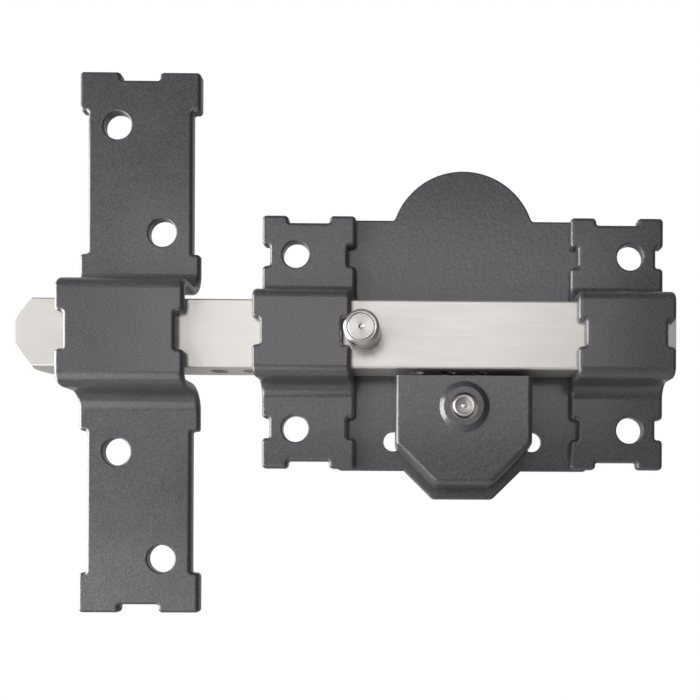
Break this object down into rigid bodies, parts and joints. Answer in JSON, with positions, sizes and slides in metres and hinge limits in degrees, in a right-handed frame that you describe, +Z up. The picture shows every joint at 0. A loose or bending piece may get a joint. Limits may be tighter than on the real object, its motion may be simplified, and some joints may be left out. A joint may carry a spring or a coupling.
{
  "type": "rim deadbolt lock",
  "caption": "Surface door bolt: a flat bar slides through two bent straps on a back plate into a separate strap keeper; a push button in a pressed housing locks the bar.",
  "frame": {"origin": "on the door's face, behind the middle of the bar's height, in line with the push button", "axes": "+X along the bar, away from the keeper; +Y into the door; +Z up"},
  "size_m": [0.192, 0.0225, 0.166],
  "materials": {
    "dark_paint": "dark grey metallic paint, semi-gloss, fine grain",
    "bar_steel": "satin nickel",
    "turned_steel": "turned bright",
    "plated_steel": "zinc plated",
    "spring_steel": "drawn wire",
    "bush_brass": "turned"
  },
  "bodies": {
    "case": {"base_plate": "dark_paint", "left_strap": "dark_paint", "right_strap": "dark_paint", "keeper": "dark_paint", "button_housing": "dark_paint", "stem_bush": "bush_brass", "fork_guide": "plated_steel", "guide_rivets": "plated_steel", "return_spring": "spring_steel"},
    "bolt": {"bolt_bar": "bar_steel", "pull_knob": "turned_steel", "knob_washer": "turned_steel", "knob_screw": "plated_steel"},
    "button": {"push_button": "turned_steel"},
    "fork": {"locking_fork": "plated_steel", "spring_clip": "plated_steel"}
  },
  "joints": [
    {"name": "bolt_slide", "type": "slide", "parent": "case", "child": "bolt", "axis": [1, 0, 0], "range_m": [0, 0.05843]},
    {"name": "button_press", "type": "slide", "parent": "case", "child": "button", "axis": [0, 1, 0], "range_m": [0, 0.003], "stiffness_N_per_m": 800, "springref_m": -0.003},
    {"name": "fork_lift", "type": "slide", "parent": "case", "child": "fork", "axis": [0, 0, 1], "range_m": [0, 0.0022], "deforming": ["return_spring"]}
  ],
  "couplings": [
    {"joint": "fork_lift", "follows": "button_press", "ratio": 0.7333}
  ]
}
